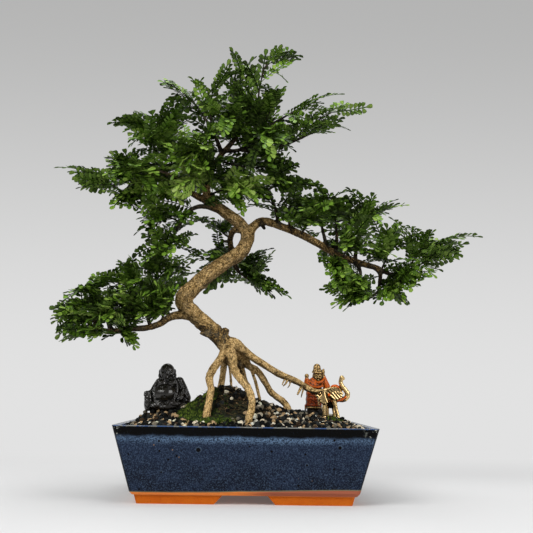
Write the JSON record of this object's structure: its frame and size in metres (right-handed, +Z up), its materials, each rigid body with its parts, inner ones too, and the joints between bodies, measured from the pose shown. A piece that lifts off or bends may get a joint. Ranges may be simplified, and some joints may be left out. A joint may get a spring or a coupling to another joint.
{
  "type": "japanese pepper bonsai",
  "caption": "Japanese pepper bonsai with a slanted, bent trunk on bared roots and feathery leaves, in a rectangular glazed pot, with small figurines on its soil.",
  "frame": {"origin": "middle of the whole thing's footprint, on the surface that the pot's feet stand on", "axes": "+X along the pot's long side, to the right seen from the front; +Y away from the viewer; +Z up"},
  "size_m": [0.4938, 0.1932, 0.5067],
  "materials": {
    "glaze": "gloss",
    "screen": "matte",
    "gravel": "matte",
    "moss": "matte",
    "bark": "matte",
    "leaf": "satin",
    "young_leaf": "satin",
    "dark_bronze": "gloss",
    "orange_glaze": "satin",
    "gold": "satin"
  },
  "bodies": {
    "root": {"pot": "glaze", "drain_screen_left": "screen", "drain_screen_right": "screen", "soil": "gravel", "moss": "moss", "trunk": "bark", "spray_crown_spire": "leaf", "spray_crown_spire_right": "leaf", "spray_crown_left_top": "leaf", "spray_crown_left_shoulder": "leaf", "spray_crown_front_upper": "leaf", "spray_crown_front_left": "leaf", "spray_crown_front_right": "leaf", "spray_crown_back_upper": "leaf", "spray_crown_back_left": "leaf", "spray_crown_back_right": "leaf", "spray_crown_right_low": "leaf", "spray_crown_low_front": "young_leaf", "spray_crown_low_right": "young_leaf", "spray_upper_left_tip": "leaf", "spray_upper_left_front": "leaf", "spray_upper_left_back": "leaf", "spray_left_mid_tip": "leaf", "spray_left_mid_front": "leaf", "spray_left_mid_back": "leaf", "spray_left_shoulder": "young_leaf", "spray_left_hanging_end": "leaf", "spray_left_hanging_mid": "leaf", "spray_low_left_tip": "leaf", "spray_low_left_under": "leaf", "spray_low_left_front": "leaf", "spray_low_left_back": "leaf", "spray_low_mid_top": "leaf", "spray_low_mid_front": "leaf", "spray_low_mid_back": "leaf", "spray_low_inner_top": "leaf", "spray_low_inner_front": "leaf", "spray_right_crown_mid": "leaf", "spray_right_crown_far": "leaf", "spray_right_inner_top": "leaf", "spray_right_mid_top": "leaf", "spray_right_outer_top": "leaf", "spray_right_front_inner": "leaf", "spray_right_front_outer": "leaf", "spray_right_back_inner": "leaf", "spray_right_back_outer": "leaf", "spray_right_far_upper": "leaf", "spray_right_far_lower": "leaf", "spray_right_hang_left": "leaf", "spray_right_hang_right": "leaf", "spray_back_low_right": "leaf", "spray_back_low_left": "leaf", "buddha_figurine": "dark_bronze", "monk_figurine": "orange_glaze", "elephant_figurine": "gold"}
  },
  "joints": []
}
